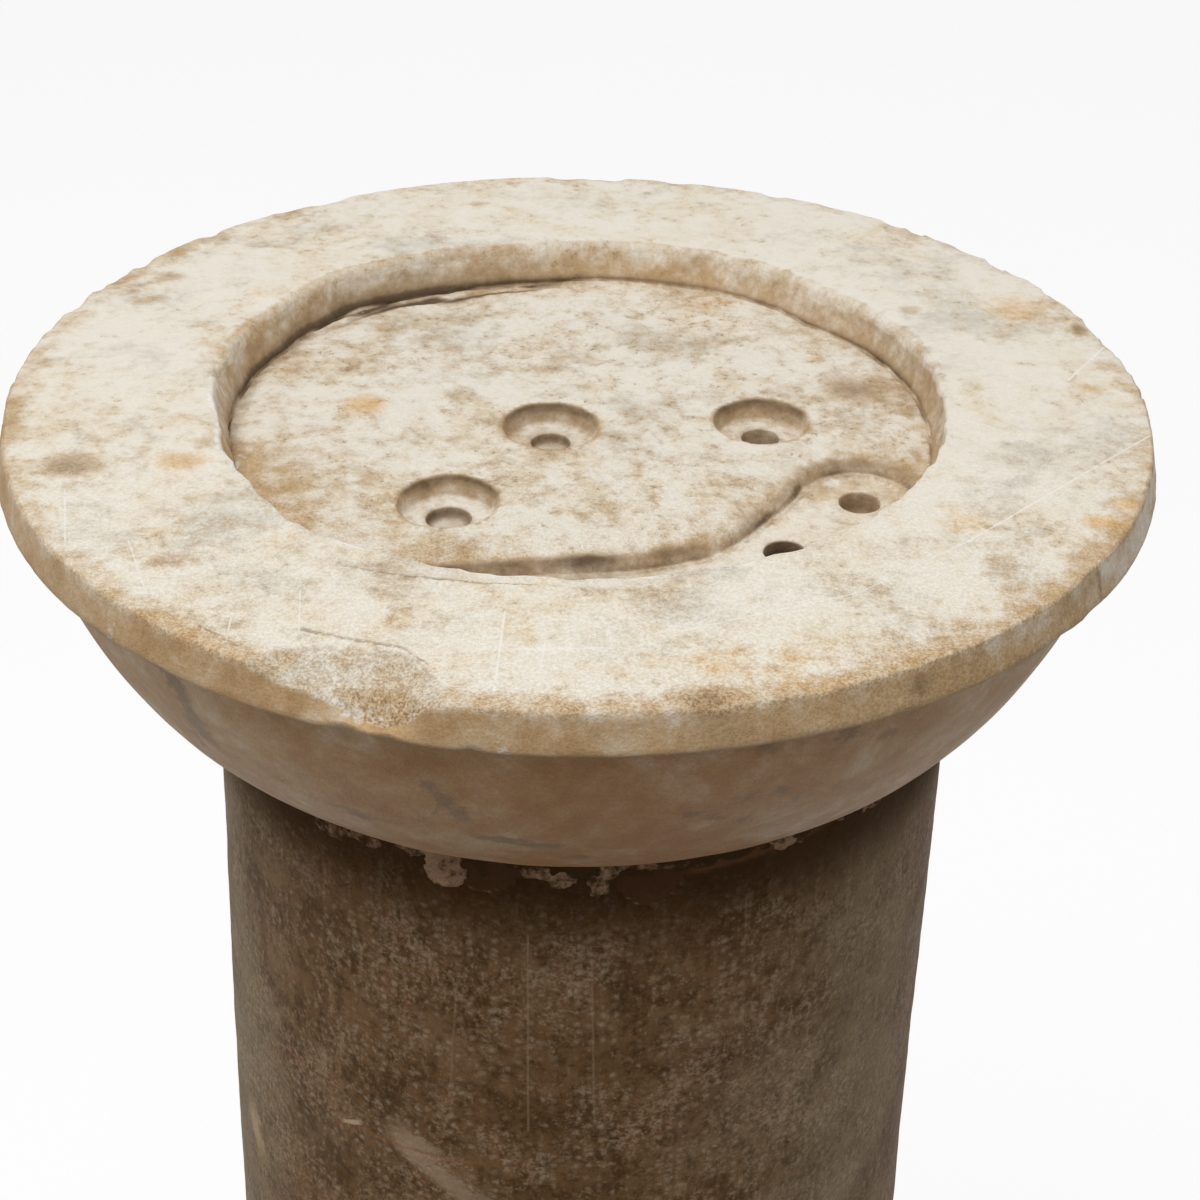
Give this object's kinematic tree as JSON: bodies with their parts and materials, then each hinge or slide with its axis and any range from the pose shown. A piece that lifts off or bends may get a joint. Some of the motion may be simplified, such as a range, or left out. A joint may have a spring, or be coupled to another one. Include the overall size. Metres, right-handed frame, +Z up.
{
  "type": "stone column",
  "caption": "Short round column: worn white marble capital with a sunk bed and drilled holes in its top, bedded in lime mortar on a dark, tapering stone shaft.",
  "frame": {"origin": "centre of the underside, on the ground", "axes": "+Z up along the shaft; the broken front arris faces -Y; the lowered channel in the top lies towards +X and -Y"},
  "size_m": [0.384, 0.384, 1.0506],
  "materials": {
    "white_marble": "weathered, honed marble with grey clouds and ochre stains",
    "lime_mortar": "rough, crumbling lime mortar",
    "dark_stone": "dull dark stone with pale pecked marks"
  },
  "bodies": {
    "root": {"capital": "white_marble", "bed_mortar": "lime_mortar", "shaft": "dark_stone"}
  },
  "joints": []
}
